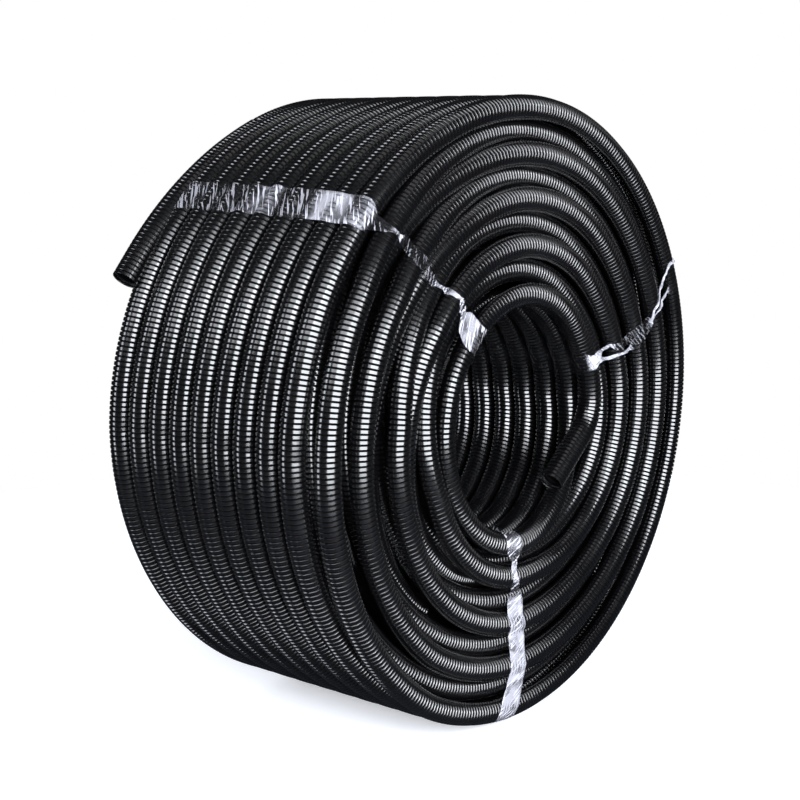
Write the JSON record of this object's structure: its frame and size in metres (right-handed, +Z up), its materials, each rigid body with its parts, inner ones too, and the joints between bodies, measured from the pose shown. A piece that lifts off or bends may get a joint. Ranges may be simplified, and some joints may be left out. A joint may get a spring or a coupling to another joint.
{
  "type": "corrugated conduit roll",
  "caption": "Roll of black corrugated plastic conduit standing on its rim, wound in layers round an open eye and tied with strips of clear film.",
  "frame": {"origin": "under the middle of the roll, on the floor it stands on", "axes": "+Z up, +Y along the roll's axis from its near end to its far end, +X to the right seen from the near end"},
  "size_m": [0.5233, 0.2302, 0.5234],
  "materials": {
    "conduit": "black extruded polyethylene, semi-gloss",
    "film": "clear stretch film, glossy and creased"
  },
  "bodies": {
    "root": {"conduit_coil": "conduit", "film_strap_upper": "film", "film_strap_right": "film", "film_strap_lower": "film"}
  },
  "joints": []
}
